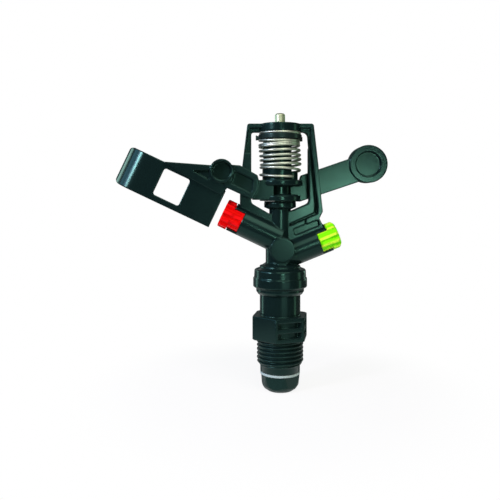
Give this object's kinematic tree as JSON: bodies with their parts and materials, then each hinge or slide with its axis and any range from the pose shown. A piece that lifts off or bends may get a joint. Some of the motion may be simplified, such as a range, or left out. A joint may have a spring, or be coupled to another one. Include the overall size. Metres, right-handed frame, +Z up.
{
  "type": "impact sprinkler",
  "caption": "Impact sprinkler head on a threaded inlet, with a spring-returned swinging arm, a counterweight, a jet nozzle and a spreader nozzle.",
  "frame": {"origin": "on the swivel axis, at the shoulder where the inlet thread meets the underside of the hexagon", "axes": "+Z up the swivel axis, +X towards the counterweight and the spreader nozzle, -Y the front, where the arm passes the bridge"},
  "size_m": [0.1235, 0.0262, 0.1245],
  "materials": {
    "dark_plastic": "dark green moulded plastic, semi-gloss",
    "black_plastic": "black moulded plastic, glossy",
    "ivory_plastic": "acetal, satin",
    "white_plastic": "PTFE, satin",
    "red_plastic": "bright red moulded plastic",
    "lime_plastic": "bright yellow-green moulded plastic",
    "rubber": "black seal rubber",
    "steel": "bright spring steel",
    "brass": "pale turned brass"
  },
  "bodies": {
    "inlet": {"inlet_bearing": "dark_plastic", "bearing_bush": "ivory_plastic", "spring_washer": "steel", "bearing_spring": "steel"},
    "washers": {"ptfe_washer": "white_plastic", "rubber_washer": "rubber"},
    "head": {"head_body": "dark_plastic", "dust_cap": "dark_plastic", "spindle_tube": "ivory_plastic", "spindle_seal": "rubber", "retaining_nut": "dark_plastic", "stream_straightener": "ivory_plastic", "pivot_pin": "brass", "arm_washer": "black_plastic"},
    "arm": {"impact_arm": "dark_plastic", "arm_bush": "ivory_plastic", "arm_spring": "steel"},
    "cap": {"spring_cap": "black_plastic"},
    "jet_nozzle": {"main_nozzle": "red_plastic", "main_nozzle_seal": "rubber"},
    "fan_nozzle": {"spreader_nozzle": "lime_plastic", "spreader_nozzle_seal": "rubber"}
  },
  "joints": [
    {"name": "head_float", "type": "slide", "parent": "inlet", "child": "washers", "axis": [0, 0, 1], "range_m": [-0.0008, 0], "stiffness_N_per_m": 1500, "springref_m": 0.006, "deforming": ["bearing_spring"]},
    {"name": "head_swivel", "type": "hinge", "parent": "washers", "child": "head", "pos_m": [0, 0, 0], "axis": [0, 0, 1], "continuous": true},
    {"name": "arm_swing", "type": "hinge", "parent": "head", "child": "arm", "pos_m": [0, 0, 0.0666], "axis": [0, 0, 1], "range_deg": [0, 100], "stiffness_Nm_per_rad": 0.006, "springref_deg": -57.3, "deforming": ["arm_spring"]},
    {"name": "cap_turn", "type": "hinge", "parent": "head", "child": "cap", "pos_m": [0, 0, 0.091], "axis": [0, 0, 1], "range_deg": [-40, 40]},
    {"name": "jet_nozzle_twist", "type": "hinge", "parent": "head", "child": "jet_nozzle", "pos_m": [-0.01804, 0, 0.05289], "axis": [-0.9018, 0, 0.4321], "range_deg": [0, 60]},
    {"name": "fan_nozzle_twist", "type": "hinge", "parent": "head", "child": "fan_nozzle", "pos_m": [0.01852, 0, 0.04406], "axis": [0.9259, 0, 0.3778], "range_deg": [0, 60]}
  ]
}
